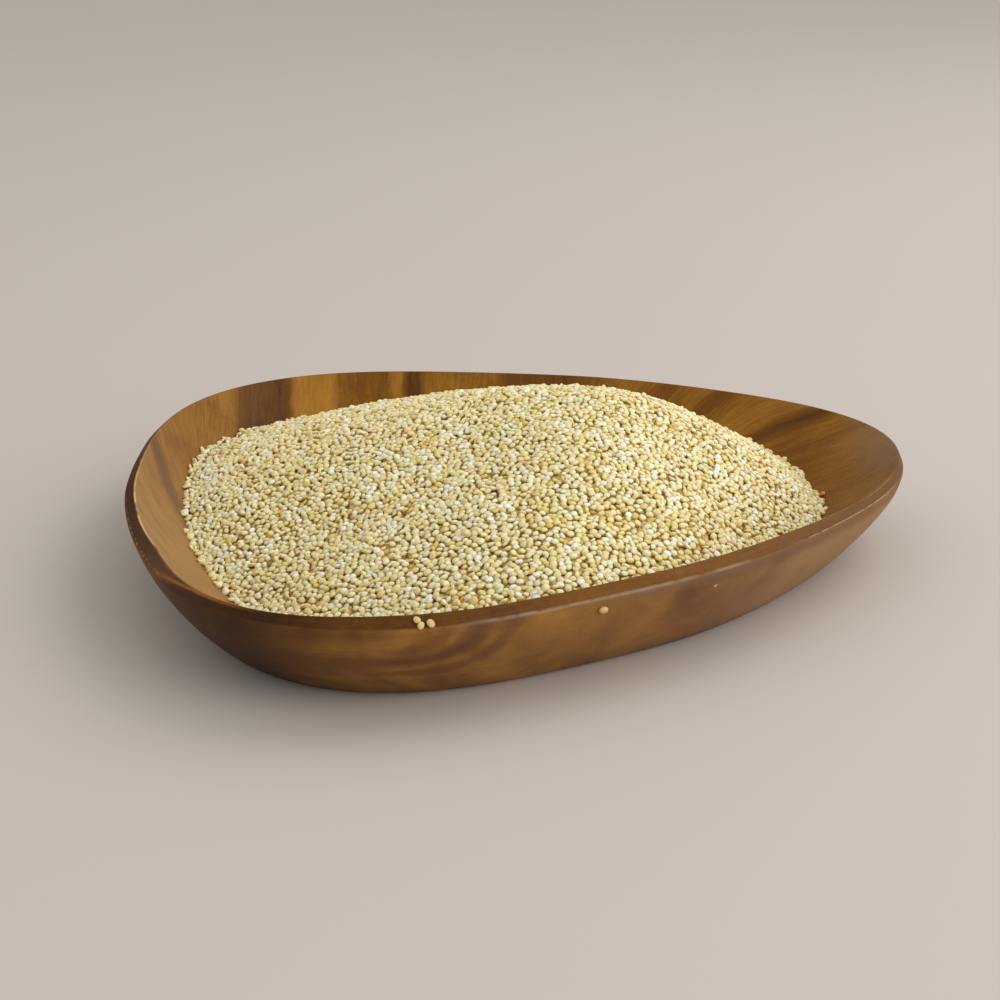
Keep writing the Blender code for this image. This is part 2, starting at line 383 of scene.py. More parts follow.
wood = {
    # the wood's colour, from dark to light tone
    "tones": ((0.05, "#42250b"), (0.42, "#70460f"), (0.80, "#a37428"), (1.0, "#c09854")),
    # bearing in degrees and the tone there: round the inner wall, the lip and the outer wall
    "inner": [(0, .50), (6, .54), (8, .42), (10, .52), (13.5, .56), (15, .30), (17, .26), (19.5, .56),
              (24, .64), (28, .50), (34, .34), (38, .54), (45, .36), (53, .56), (60, .40), (66, .26),
              (77, .28), (78, .50), (92, .56), (93, .14), (94.6, .14), (95.2, .64), (97.2, .62), (98, .38),
              (105.4, .44), (106.4, .66), (113, .66), (114.2, .17), (122, .20), (123.2, .52), (140, .50),
              (148.5, .58), (150.5, .30), (153, .22), (156, .52), (164, .60), (172, .66), (200, .64),
              (230, .66)],
    "lip": [(0, .36), (40, .40), (90, .36), (140, .26), (160, .16), (205, .12), (216, .22), (222, .12),
            (236, .10), (244, .16), (262, .18), (275, .36), (300, .36), (330, .32), (345, .32), (360, .34)],
    "outer": [(0, .50), (30, .45), (60, .40), (90, .50), (120, .38), (150, .42), (180, .40), (205, .40),
              (214, .12), (237, .08), (243, .38), (252, .50), (262, .48), (268, .64), (282, .62), (292, .64),
              (304, .46), (312, .30), (318, .40), (330, .46), (345, .56), (360, .50)],
    # how much an inner band drifts round as it goes down, by bearing
    "slant": [(0, .68), (20, .68), (45, .40), (70, .05), (95, .10), (120, .40), (145, .75),
              (165, 1.1), (200, 1.0), (260, .8)],
    "rampSplit": 0.7,   # place in the turn where one ramp hands over to the next
    "drift": 0.0018, "waver": 0.014, "ripple": 0.0022,   # of the bands in the hollow
    "roundDrift": 0.0006, "roundWaver": 0.05,
    # noises, by scale, detail, roughness and distortion, and their shares in the tone
    "waverNoise": (28.0, 2.0), "rippleNoise": (160.0, 2.0), "mottleNoise": (420.0, 3.0, 0.6),
    "softNoise": (42.0, 3.0, 0.6), "softInside": 0.40, "softLip": 0.2, "mottleLip": 0.3,
    "blotchNoise": (56.0, 3.0, 0.62, 0.9), "blotches": 0.85,
    "figureNoise": (30.0, 1.0, 0.5, 1.6), "figureStretch": (1, 1, 0.6), "arcRepeats": 9, "arcs": 0.10,
    # fibres: how often they repeat round the dish and over the section, and their noise
    "fibresDown": (95, 0.10, (1.0, 4.0, 0.62, 0.3)), "fibresRound": (9, 1.1, (1.0, 4.0, 0.65, 0.5)),
    "fineRound": (60, 3.2, (1.0, 3.0, 0.7, 0.2)), "streaksDown": (26, 0.05, (1.0, 3.0, 0.6)),
    "fibresOutside": 0.28, "fibresInside": 0.16, "fineFibres": 0.22,
    "streaks": (187.2, 57.6, 0.5, 0.16),   # where round the hollow, how much more there, and everywhere
    # a swirl in the figure on the front: its bearing, its scale across and down,
    # and its rings as distance, width and darkness
    "swirlAt": 252.0, "swirlScale": (37.0, 0.075), "swirlPart": (-0.9, 0.2),
    "swirlRings": ((0.92, 0.24, 0.40), (1.40, 0.24, 0.24), (0.5, 0.2, 0.14)),
    "swirlMiddle": (0.2, 0.9), "swirlLight": 0.10,
    "darkPatch": {"around": (294.48, 10.8), "down": (13.0, 9.0), "share": 0.22},
    # millimetres over the section from the lip's outer edge: the outside is below 0
    "outsideEnds": (-0.5, 0.3), "bevelStarts": (-0.4, 0.4), "ridgeStarts": (4.2, 4.7), "hollowStarts": 4.4,
    "underLip": (2.0, 5.0), "lowerWall": (2.0, 7.0),
    "tipStarts": (-3.0, 2.0), "tipEnds": (8.0, 22.0),
    "lipEdge": (0.0, 0.8), "lipRim": (0.6, 0.6), "ridge": (4.45, 0.65),
    "bothEdges": ((0.1, 0.26), (4.4, 0.26)),
    "weathered": (234.0, 324.0, 432.0, 532.8), "weatheredMore": 0.42, "weatheredLeast": 0.28,
    "shades": ((230.4, 19.8, 0.6), (246.6, 10.8, 0.35)),   # painted shade of the worn corner, and under the lip beside it
    # where the painted highlight line climbs round the dish, where it starts, how far it rises and how wide
    # it is
    "highlightClimb": (212.4, 226.8), "highlightFrom": 0.3, "highlightRise": 3.6, "highlightWidth": 1.4,
    "lipDark": 0.42, "lipMottle": 0.45, "dryLip": 0.3,
    "chipPlace": (49.5 * mm, -98.0 * mm, 21.9 * mm), "chipSize": (0.3 * mm, 0.8 * mm),
    "roughness": 0.55, "gloss": 0.11, "bump": (0.35, 0.25 * mm),
}

# stains, worn edges, painted shade, painted light and painted highlights, each laid over the last: the
# colour, what it lies on and how strongly;
# where round the dish in degrees, as a middle and a spread, or as where it rises, is full, fades and ends;
# and for a patchy one a noise's scale, detail and roughness, and the part of it that shows
woodStainsAndPaintedLight = {
    "greyedOutside": ("#845f44", "weathered", 1.0, None, None),
    "purpleClouds": ("#4a3022", "outer", 0.6, (309.6, 57.6), (38.0, 2.0, 0.5, 0.50, 0.68)),
    "oliveSide": ("#6c5c40", "outer", 0.7, (180.0, 41.4), (60.0, 2.0, 0.5, 0.30, 0.60)),
    # painted shade: the worn corner and the wall under the lip beside it darkened
    "paintedShadeCorner": ("#22150a", "shaded", 1.0, None, None),
    "dustUnderLip": ("#735a47", "underLip", 0.45, (270.0, 284.4, 316.8, 331.2), None),
    "brownLip": ("#5e3f24", "bevel", 0.45, (288.0, 331.2, 360.0, 388.8), None),
    # painted light: the lower outer wall lighter on the front-right side, which faces the lamp
    "litLowerWall": ("#b08c62", "lowerWall", 0.40, (295.2, 316.8, 360.0, 396.0), None),
    "chip": ("#d3ba94", "chip", 0.75, None, None),
    "dullInside": ("#957a5c", "inner", 0.38, (190.8, 68.4), None),
    "darkLip": ("#3c2109", "mottledBevel", 1.0, (180.0, 46.8), None),
    "goldenFlecks": ("#b5823f", "lipRim", 0.6, (198.0, 28.8), (650.0, 2.0, 0.5, 0.50, 0.60)),
    # painted sheen: the tip paler and greyer where light hazes it
    "tipSheen": ("#8a6e50", "tipBand", 0.6, (0.0, 14.4), None),
    # a painted highlight along the ridge on the left
    "ridgeHighlight": ("#deb07a", "ridge", 0.95, (187.2, 43.2), (60.0, 2.0, 0.5, 0.30, 0.56)),
    # a painted highlight along the rounded edge of the worn corner
    "edgeHighlightLine": ("#a8601c", "edgeHighlight", 0.75, (223.92, 14.4), None),
    # a pale worn line along the front lip's outer edge, partly a painted highlight
    "wornAndHighlitFront": ("#8f8070", "lipEdge", 0.7, (257.4, 264.6, 298.8, 304.2), (130.0, 3.0, 0.6, 0.30, 0.55)),
    "scratches": ("#c4a47c", "bothEdges", 0.7, (309.6, 320.4, 334.8, 345.6), (330.0, 4.0, 0.8, 0.36, 0.54)),
}


def bearingStops(table, low=0.0, high=1.0):
    # ramp stops for the part of the turn from low to high
    turned = sorted((turnOf(bearing), tone) for bearing, tone in table)
    first, last = turned[0], turned[-1]
    places, tones = zip(*[(last[0] - 1, last[1])] + turned + [(first[0] + 1, first[1])])
    inside = [(place, tone) for place, tone in turned if low < place < high]
    return [(low, np.interp(low, places, tones))] + inside + [(high, np.interp(high, places, tones))]


def bandTone(turn, table):
    # a ramp holds 32 stops at most, so a long table has one for each side of the split
    before = turn.ramp(bearingStops(table, 0.0, wood["rampSplit"]))
    after = turn.ramp(bearingStops(table, wood["rampSplit"], 1.0))
    return before + (after - before) * turn.math("GREATER_THAN", wood["rampSplit"])


def compassOf(start, turn):
    # a place on a circle one across
    angle = turn * fullTurn
    return start.node("ShaderNodeCombineXYZ", values={"X": angle.math("COSINE"), "Y": angle.math("SINE")})


def woodPlaces(start):
    # where each point of the dish is, round it and over the lip, and the noises that several parts share
    place = start.place()
    parts = start.node("ShaderNodeSeparateXYZ", values={0: place})
    x, y = (Wire(start.tree, parts.socket.node.outputs[axis]) for axis in range(2))
    lip = start.kept("lipPlace")
    inner = lip.between(*wood["ridgeStarts"])
    return {
        "place": place, "lip": lip, "turn": y.math("ARCTAN2", x) / fullTurn + 0.5,
        "depth": (lip - wood["hollowStarts"]).math("MAXIMUM", 0.0),
        "below": (lip * -1.0).math("MAXIMUM", 0.0),
        "inner": inner, "outer": 1 - lip.between(*wood["outsideEnds"]),
        "bevel": lip.between(*wood["bevelStarts"]) * (1 - inner),
        "waver": place.noise(*wood["waverNoise"]) - 0.5, "soft": place.noise(*wood["softNoise"]) - 0.5,
        "mottle": place.noise(*wood["mottleNoise"]),
    }


def swirlTone(at):
    # dark rings round a lighter middle on the front, and a dark patch beyond them
    across, down = wood["swirlScale"]
    right = (at["turn"] - turnOf(wood["swirlAt"])) * across
    drop = at["below"] * down
    away = (right * right + drop * drop).math("SQRT") + at["waver"] * 0.5
    rings = sum(away.near(distance, width) * darkness for distance, width, darkness in wood["swirlRings"])
    middle = (1 - away.between(*wood["swirlMiddle"])) * wood["swirlLight"]
    dark = wood["darkPatch"]
    patch = at["turn"].nearBearing(*dark["around"]) * at["below"].near(*dark["down"]) * dark["share"]
    return middle - rings * right.between(*wood["swirlPart"]) - patch


def figureTone(at, downBands):
    # broad bands that run down the hollow, round ones outside, and one tone along the lip
    turn, place = at["turn"], at["place"]
    innerTone = bandTone(downBands.math("WRAP", 1.0, 0.0), wood["inner"]) + at["soft"] * wood["softInside"]
    roundBands = turn + at["waver"] * wood["roundWaver"] + at["below"] * wood["roundDrift"]
    blotches = (place.noise(*wood["blotchNoise"]) - 0.5) * wood["blotches"]
    figure = place.stretched(*wood["figureStretch"]).noise(*wood["figureNoise"])
    arcs = ((figure * wood["arcRepeats"]).math("PINGPONG", 1.0) - 0.5) * wood["arcs"]
    outerTone = roundBands.math("WRAP", 1.0, 0.0).ramp(bearingStops(wood["outer"])) + blotches + arcs
    outerTone = outerTone + swirlTone(at)
    lipTone = (turn.ramp(bearingStops(wood["lip"])) + (at["mottle"] - 0.5) * wood["mottleLip"]
               + at["soft"] * wood["softLip"])
    tone = outerTone + (innerTone - outerTone) * at["inner"]
    return tone + (lipTone - tone) * at["bevel"]


def fibreNoise(circle, up, fibres):
    across, over, settings = fibres
    return circle.stretched(across, across, 0).plus(up.stretched(0, 0, over)).noise(*settings)


def woodFibres(start, at, downBands):
    # fibres down the hollow and lengthwise outside, finer ones, and broad streaks down the hollow
    up = start.node("ShaderNodeCombineXYZ", values={"Z": at["lip"]})
    along, around = compassOf(start, downBands), compassOf(start, at["turn"])
    inside = fibreNoise(along, up, wood["fibresDown"])
    outside = fibreNoise(around, up, wood["fibresRound"])
    fibres = outside + (inside - outside) * at["inner"]
    return fibres, fibreNoise(around, up, wood["fineRound"]), fibreNoise(along, up, wood["streaksDown"])


def stainAndLightGrounds(start, at):
    # the parts of the dish that stains, painted shade, painted light and painted highlights lie on, 0 to 1
    turn, lip, below, outer = at["turn"], at["lip"], at["below"], at["outer"]
    underLip = outer * (1 - below.between(*wood["underLip"]))
    # a thin painted highlight climbs from the lip's outer edge to the ridge
    first, last = wood["highlightClimb"]
    highlightPlace = turn.between(turnOf(first), turnOf(last)) * wood["highlightRise"] + wood["highlightFrom"]
    (corner, cornerWidth, cornerShade), (side, sideWidth, sideShade) = wood["shades"]
    firstEdge, secondEdge = wood["bothEdges"]
    weathered = turn.fromTo(*wood["weathered"]) * wood["weatheredMore"] + wood["weatheredLeast"]
    fromChip = start.node("ShaderNodeVectorMath", output=1, settings={"operation": "DISTANCE"},
                          values={0: at["place"], 1: wood["chipPlace"]})
    return {
        "outer": outer, "inner": at["inner"], "bevel": at["bevel"], "underLip": underLip,
        "weathered": outer * weathered,
        # painted shade, darkest on the worn corner and under the lip beside it
        "shaded": ((outer + at["bevel"]) * turn.nearBearing(corner, cornerWidth) * cornerShade
                   + underLip * turn.nearBearing(side, sideWidth) * sideShade),
        "lowerWall": outer * below.between(*wood["lowerWall"]),
        "mottledBevel": at["bevel"] * (at["mottle"] * wood["lipMottle"] + wood["lipDark"]),
        "chip": 1 - fromChip.between(*wood["chipSize"]),
        "tipBand": lip.between(*wood["tipStarts"]) * (1 - lip.between(*wood["tipEnds"])),
        "lipEdge": lip.near(*wood["lipEdge"]), "lipRim": lip.near(*wood["lipRim"]),
        "ridge": lip.near(*wood["ridge"]), "bothEdges": lip.near(*firstEdge) + lip.near(*secondEdge),
        "edgeHighlight": (lip - highlightPlace).near(0.0, wood["highlightWidth"]),
    }


def layStainOrPaintedLight(colour, at, grounds, stain):
    # the colour with one stain, painted shade, painted light or painted highlight more
    paintCode, ground, strength, where, patches = stain
    share = grounds[ground] * strength
    if where:
        turn = at["turn"]
        share = share * (turn.nearBearing(*where) if len(where) == 2 else turn.fromTo(*where))
    if patches:
        *noiseSettings, low, high = patches
        share = share * at["place"].noise(*noiseSettings).between(low, high)
    return share.mix(colour, paint(paintCode))


def woodMaterial():
    material, start = newMaterial("oiledAcacia")
    at = woodPlaces(start)
    ripple = at["place"].noise(*wood["rippleNoise"]) - 0.5
    slant = at["turn"].ramp(bearingStops(wood["slant"]))
    downBands = (at["turn"] + at["waver"] * wood["waver"] + ripple * wood["ripple"]
                 - at["depth"] * slant * wood["drift"])
    fibres, fine, streaks = woodFibres(start, at, downBands)
    where, spread, more, least = wood["streaks"]
    streaked = at["turn"].nearBearing(where, spread) * more + least
    fibreShare = at["inner"] * wood["fibresInside"] + wood["fibresOutside"]
    tone = (figureTone(at, downBands) + (fibres - 0.5) * fibreShare + (fine - 0.5) * wood["fineFibres"]
            + (streaks - 0.5) * at["inner"] * streaked)
    colour = tone.ramp([(place, paint(code)) for place, code in wood["tones"]])
    grounds = stainAndLightGrounds(start, at)
    for stain in woodStainsAndPaintedLight.values():
        colour = layStainOrPaintedLight(colour, at, grounds, stain)

    drier = at["bevel"] * at["turn"].nearBearing(*woodStainsAndPaintedLight["darkLip"][3]) * wood["dryLip"]
    roughness = wood["roughness"] - fibres * 0.10 + at["mottle"] * 0.08 + drier
    height = fibres * 0.35 + fine * 0.35 + at["mottle"] * 0.2
    finishMaterial(start, {"Base Color": colour, "Roughness": roughness,
                           "Normal": height.bump(*wood["bump"]),
                           "Specular IOR Level": wood["gloss"]})
    return material


dishPiece = makeDish()
dishPiece.data.materials.append(woodMaterial())
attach(dishPiece, "root")
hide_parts("dish")
print("dish made:", len(dishPiece.data.polygons), "faces")


heap = {
    "seed": 23, "count": 15800,
    "spacings": (2.8 * mm, 1.82 * mm),   # how far apart grains are pushed, in the first round and the last
    "topDepth": 0.66 * mm,   # how far below the heap's surface the highest grains' middles lie
    "slab": 1.40 * mm,   # how deep the loose grains go below those
    "jitter": 0.42 * mm, "clearOfWood": 0.62 * mm,
    "coreDepth": 1.9 * mm, "coreRelief": 0.45 * mm, "coreCell": 1.9 * mm,
    "coreFade": 0.3,   # upward share of a normal from which the core is sunk in full
    "coreClear": 0.25 * mm,   # between the core and the wood
    "joinReach": 0.02 * mm,
    "grid": 0.8 * mm, "calmPasses": 10, "lookFrom": 0.2,
    # how far grains at the edge may stand above the surface, with its spread and limits
    "edgeAllowance": (0.25 * mm, 0.55 * mm), "edgeLimits": (-0.9 * mm, 0.95 * mm),
    "mostPinched": 1 * mm, "leastSlope": 0.05,
    "rounds": 10, "stepsPerRound": 4, "push": 0.2, "closest": 0.01 * mm,
    "size": 2.32 * mm,
    "tumbled": 0.20,   # share of the grains that lie at any angle
}
draw = np.random.default_rng(heap["seed"])


def makeCore():
    # a copy of the CAD's heap, with the points that share a place joined
    piece = newObject("quinoaCore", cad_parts["quinoa"].data.copy())
    editAll(piece)
    bpy.ops.mesh.remove_doubles(threshold=heap["joinReach"])
    bpy.ops.object.mode_set(mode="OBJECT")
    return piece


def heightGrid(piece, low, high):
    # heights of a piece's upper side over a square grid
    tree = BVHTree.FromObject(piece, bpy.context.evaluated_depsgraph_get())
    xs = np.arange(low.x, high.x, heap["grid"])
    ys = np.arange(low.y, high.y, heap["grid"])
    rows = np.full((len(xs), len(ys)), np.nan)
    for i, x in enumerate(xs):
        for j, y in enumerate(ys):
            hit = tree.ray_cast(Vector((x, y, heap["lookFrom"])), Vector((0, 0, -1)))[0]
            if hit:
                rows[i, j] = hit.z
    return xs, ys, rows


def heightAt(grid, points):
    # between the grid's heights, in proportion
    xs, ys, rows = grid
    u = np.clip((points[:, 0] - xs[0]) / heap["grid"], 0, len(xs) - 1.001)
    v = np.clip((points[:, 1] - ys[0]) / heap["grid"], 0, len(ys) - 1.001)
    i, j = u.astype(int), v.astype(int)
    s, t = u - i, v - j
    return ((1 - s) * (1 - t) * rows[i, j] + s * (1 - t) * rows[i + 1, j]
            + (1 - s) * t * rows[i, j + 1] + s * t * rows[i + 1, j + 1])


def slopeAt(grid, points):
    # how steeply the heights rise along x and along y
    return [(heightAt(grid, points + step) - heightAt(grid, points - step)) / (2 * heap["grid"])
            for step in np.eye(3)[:2] * heap["grid"]]


def calmHeights(rows, passes):
    # averages each height with its neighbours that the heap has too
    there = np.isfinite(rows)
    for _ in range(passes):
        filled = np.where(there, rows, 0)
        total, count = filled.copy(), there.astype(float)
        for axis in (0, 1):
            for way in (-1, 1):
                total += np.roll(filled, way, axis)
                count += np.roll(there, way, axis)
        rows = np.where(there, total / np.maximum(count, 1), np.nan)
    return rows


corePiece = makeCore()
low, high = cadBox
xs, ys, heapRows = heightGrid(corePiece, low, high)
woodRows = heightGrid(dishPiece, low, high)[2]
openHeap = np.isfinite(heapRows)
woodRows = np.where(np.isfinite(woodRows), woodRows, 0)
heapRows = np.where(openHeap, calmHeights(heapRows, heap["calmPasses"]), woodRows)
surfaceGrid, woodGrid = (xs, ys, heapRows), (xs, ys, woodRows)
print("heap measured:", int(openHeap.sum()), "places")


def holdGrains(points, allowance):
    # inside the slab under the heap's surface and clear of the wood
    dx, dy = slopeAt(surfaceGrid, points)
    lean = np.sqrt(1 + dx ** 2 + dy ** 2)
    ceiling = heightAt(surfaceGrid, points) - heap["topDepth"] * lean
    wx, wy = slopeAt(woodGrid, points)
    floor = heightAt(woodGrid, points) + heap["clearOfWood"] * np.sqrt(1 + wx ** 2 + wy ** 2)
    bottom = np.maximum(ceiling - heap["slab"] * lean, floor)
    pinched = np.clip(floor - ceiling - allowance, 0, heap["mostPinched"])
    slope = np.maximum(np.hypot(wx, wy), heap["leastSlope"])
    points[:, 0] -= pinched * wx / slope
    points[:, 1] -= pinched * wy / slope
    points[:, 2] = np.clip(points[:, 2], bottom, np.maximum(ceiling, bottom))
    return points


def packGrains():
    # random places under the surface, pushed apart until they only touch
    xs, ys, _ = surfaceGrid
    cells = np.argwhere(openHeap[:-1, :-1])
    pick = cells[draw.integers(0, len(cells), heap["count"])]
    points = np.zeros((heap["count"], 3))
    corner = np.stack([xs[pick[:, 0]], ys[pick[:, 1]]], axis=1)
    points[:, :2] = corner + draw.random((heap["count"], 2)) * heap["grid"]
    depth = heap["topDepth"] + draw.random(heap["count"]) * heap["slab"]
    points[:, 2] = heightAt(surfaceGrid, points) - depth
    allowance = np.clip(draw.normal(*heap["edgeAllowance"], heap["count"]), *heap["edgeLimits"])
    points = holdGrains(points, allowance)
    for spacing in np.linspace(*heap["spacings"], heap["rounds"]):
        tree = KDTree(len(points))
        for index, point in enumerate(points):
            tree.insert(point, index)
        tree.balance()
        pairs = [(index, other) for index, point in enumerate(points)
                 for _, other, _ in tree.find_range(point, spacing) if other > index]
        first, second = np.array(pairs).T
        for _ in range(heap["stepsPerRound"]):
            apart = points[first] - points[second]
            distance = np.maximum(np.linalg.norm(apart, axis=1), heap["closest"])
            push = np.clip(spacing - distance, 0, None) / distance * heap["push"]
            move = apart * push[:, None]
            for axis in range(3):
                points[:, axis] += np.bincount(first, move[:, axis], len(points))
                points[:, axis] -= np.bincount(second, move[:, axis], len(points))
            points = holdGrains(points, allowance)
    return holdGrains(points + draw.normal(0, heap["jitter"] / 2, points.shape), allowance)


grainPlaces = packGrains()
print("grains packed:", len(grainPlaces))


grain = {
    "segments": 9, "rings": 4,
    "ringRadii": (1.0, 0.76, 0.0), "ringHeights": (0.0, 0.34, 0.46),   # from the middle ring to the tips
    # middle and spread of what differs from grain to grain
    "sizes": (1.0, 0.10), "sizeLimits": (0.70, 1.18),
    "thickness": (1.0, 0.10), "thicknessLimits": (0.75, 1.3),
    "narrowness": (0.97, 0.04), "dents": 0.035, "lean": 0.40,
}


def makeGrainModel():
    # one grain: a small lens, 2 across and 0.92 thick
    deselectAll()
    bpy.ops.mesh.primitive_uv_sphere_add(segments=grain["segments"], ring_count=grain["rings"],
                                         radius=1.0, location=(0, 0, 0))
    model = bpy.context.active_object
    points = pointsOf(model.data)
    ring = np.round(np.abs(points[:, 2]), 3)
    heights = sorted(set(ring))
    level = np.searchsorted(heights, ring)
    radius = np.array(grain["ringRadii"])[level]
    height = np.array(grain["ringHeights"])[level]
    flat = np.maximum(np.hypot(points[:, 0], points[:, 1]), 1e-6)
    points[:, 0] *= radius / flat
    points[:, 1] *= radius / flat
    points[:, 2] = np.sign(points[:, 2]) * height
    putPoints(model.data, points)
    return model, level


grainModel, grainLevel = makeGrainModel()
print("grain model:", len(grainModel.data.vertices), "points")

grainKinds = {
    "creamRound": {"share": .23, "thick": 1.0, "oval": .06, "light": "#e7dfc2", "dark": "#dfd094"},
    "creamPlump": {"share": .21, "thick": 1.15, "oval": .10, "light": "#e5dab8", "dark": "#dbc886"},
    "strawRound": {"share": .19, "thick": .98, "oval": .12, "light": "#e3d6ac", "dark": "#d6be7c"},
    "strawOval": {"share": .16, "thick": .95, "oval": .26, "light": "#e3d398", "dark": "#d0b870"},
    "ivoryRound": {"share": .13, "thick": 1.05, "oval": .10, "light": "#e8e3d0", "dark": "#e3d8ae"},
    "goldenGrain": {"share": .03, "thick": 1.0, "oval": .16, "light": "#dcc97c", "dark": "#c9ab5a"},
    "chalkyGrain": {"share": .05, "thick": 1.05, "oval": .12, "light": "#f3efe2", "dark": "#ece5d0"},
}


def turnMatrices(count, lean):
    # random turns: a spin about the grain's own axis, a lean, and a bearing of the lean
    spin, bearing = draw.random(count) * fullTurn, draw.random(count) * fullTurn
    ca, sa = np.cos(bearing), np.sin(bearing)
    cl, sl = np.cos(lean), np.sin(lean)
    cs, ss = np.cos(spin), np.sin(spin)
    turn = np.zeros((count, 3, 3))
    one = np.stack([ca, sa, np.zeros(count)], axis=1)
    two = np.stack([-sa * cl, ca * cl, sl], axis=1)
    three = np.stack([sa * sl, -ca * sl, cl], axis=1)
    turn[:, :, 0] = one * cs[:, None] + two * ss[:, None]
    turn[:, :, 1] = -one * ss[:, None] + two * cs[:, None]
    turn[:, :, 2] = three
    return turn


def leanOnSlope(turn, normals):
    # tilt each grain's turn so that up becomes the surface's normal
    cross = np.zeros((len(normals), 3, 3))
    cross[:, :2, 2] = normals[:, :2]
    cross[:, 2, :2] = -normals[:, :2]
    tilt = np.eye(3) + cross + cross @ cross / (1 + normals[:, 2])[:, None, None]
    return tilt @ turn


def shapeGrains(pattern, places, normals, kind):
    # the points of every grain, each with its own size, dents and turn
    count = len(places)
    sizes = heap["size"] / 2 * draw.normal(*grain["sizes"], count).clip(*grain["sizeLimits"])
    longer = 1 + kind["oval"] * draw.random(count)
    thick = kind["thick"] * draw.normal(*grain["thickness"], count).clip(*grain["thicknessLimits"])
    narrow = draw.normal(*grain["narrowness"], count)
    scale = np.stack([sizes * longer, sizes * narrow, sizes * thick], axis=1)
    dents = 1 + draw.normal(0, grain["dents"], (count, len(pattern), 1))
    shapes = pattern[None] * dents * scale[:, None]
    lean = np.abs(draw.normal(0, grain["lean"], count))
    lean = np.where(draw.random(count) < heap["tumbled"], draw.random(count) * math.pi / 2, lean)
    turn = leanOnSlope(turnMatrices(count, lean), normals)
    return np.einsum("nij,nkj->nki", turn, shapes) + places[:, None]


def joinGrains(name, places, normals, depths, kind):
    # all grains of one kind as one mesh
    count = len(places)
    pattern = pointsOf(grainModel.data)
    points = shapeGrains(pattern, places, normals, kind)
    faces = [list(face.vertices) for face in grainModel.data.polygons]
    lengths = [len(face) for face in faces]
    corners = np.concatenate(faces)
    mesh = bpy.data.meshes.new(name)
    mesh.vertices.add(count * len(pattern))
    mesh.loops.add(count * len(corners))
    mesh.polygons.add(count * len(faces))
    mesh.vertices.foreach_set("co", points.astype(np.float32).ravel())
    shifted = corners[None] + (np.arange(count) * len(pattern))[:, None]
    mesh.loops.foreach_set("vertex_index", shifted.ravel().astype(np.int32))
    starts = np.concatenate([[0], np.cumsum(np.tile(lengths, count))[:-1]])
    mesh.polygons.foreach_set("loop_start", starts.astype(np.int32))
    mesh.update(calc_edges=True)
    mesh.validate()
    keepNumber(mesh, "tint", np.repeat(draw.random(count), len(pattern)))
    keepNumber(mesh, "rim", np.tile(1 - grainLevel / 2, count))
    keepNumber(mesh, "depth", np.repeat(depths, len(pattern)))
    mesh.shade_smooth()
    return newObject(name, mesh)


grainLook = {
    "tintShare": 0.55, "cloudShare": 0.3, "rimShare": 0.35, "lighter": 0.2,   # in the mix of light and dark
    "rimStarts": (0.45, 1.0), "rimPaint": "#c8aa5e", "rimStrength": 0.5,
    # painted shade for grains lying deeper in the heap
    "shadeBelowStarts": (0.2, 0.85), "shadeBelowPaint": "#cba64c", "shadeBelowStrength": 0.7,
    "cloudNoise": (900.0, 2.0), "dimpleNoise": (2600.0, 2.0), "bump": (0.25, 0.1 * mm),
    "roughness": 0.45, "cloudRoughness": 0.2, "gloss": 0.28,
    "scatter": 0.72, "scatterReach": 1.9 * mm, "scatterColour": (1.0, 0.65, 0.25),
}


def grainMaterial(name, light, dark):
    material, start = newMaterial(name)
    place = start.place()
    look = grainLook
    tint, rim, depth = start.kept("tint"), start.kept("rim"), start.kept("depth")
    cloud = place.noise(*look["cloudNoise"])
    share = tint * look["tintShare"] + cloud * look["cloudShare"] + rim * look["rimShare"] - look["lighter"]
    base = share.mix(paint(light), paint(dark))
    edged = (rim.between(*look["rimStarts"]) * look["rimStrength"]).mix(base, paint(look["rimPaint"]))
    # painted shade: grains lying deeper under the heap's surface are darker and warmer
    shadeBelow = depth.between(*look["shadeBelowStarts"]) * look["shadeBelowStrength"]
    finishMaterial(start, {"Base Color": shadeBelow.mix(edged, paint(look["shadeBelowPaint"])),
                           "Roughness": look["roughness"] + cloud * look["cloudRoughness"],
                           "Normal": place.noise(*look["dimpleNoise"]).bump(*look["bump"]),
                           "Specular IOR Level": look["gloss"], "Subsurface Weight": look["scatter"],
                           "Subsurface Scale": look["scatterReach"],
                           "Subsurface Radius": look["scatterColour"]})
    return material


coreLook = {
    # the gaps' colour is painted shade between the cells that stand for grains
    "light": "#ccb070", "dark": "#b3934c", "gapShade": "#80642a", "gapShadeStarts": (0.25, 0.75),
    "cellScale": 560.0, "tintNoise": (520.0, 2.0), "bump": (0.8, 0.5 * mm), "roughness": 0.7,
}


def coreMaterial():
    material, start = newMaterial("packedQuinoa")
    place = start.place()
    cells = start.node("ShaderNodeTexVoronoi", output="Distance",
                       values={"Vector": place, "Scale": coreLook["cellScale"]})
    tint = place.noise(*coreLook["tintNoise"])
    base = tint.mix(paint(coreLook["light"]), paint(coreLook["dark"]))
    # painted shade in the gaps between the cells that stand for grains
    colour = cells.between(*coreLook["gapShadeStarts"]).mix(base, paint(coreLook["gapShade"]))
    bump = (1 - cells).bump(*coreLook["bump"])
    finishMaterial(start, {"Base Color": colour, "Roughness": coreLook["roughness"] - tint * 0.1,
                           "Normal": bump})
    return material


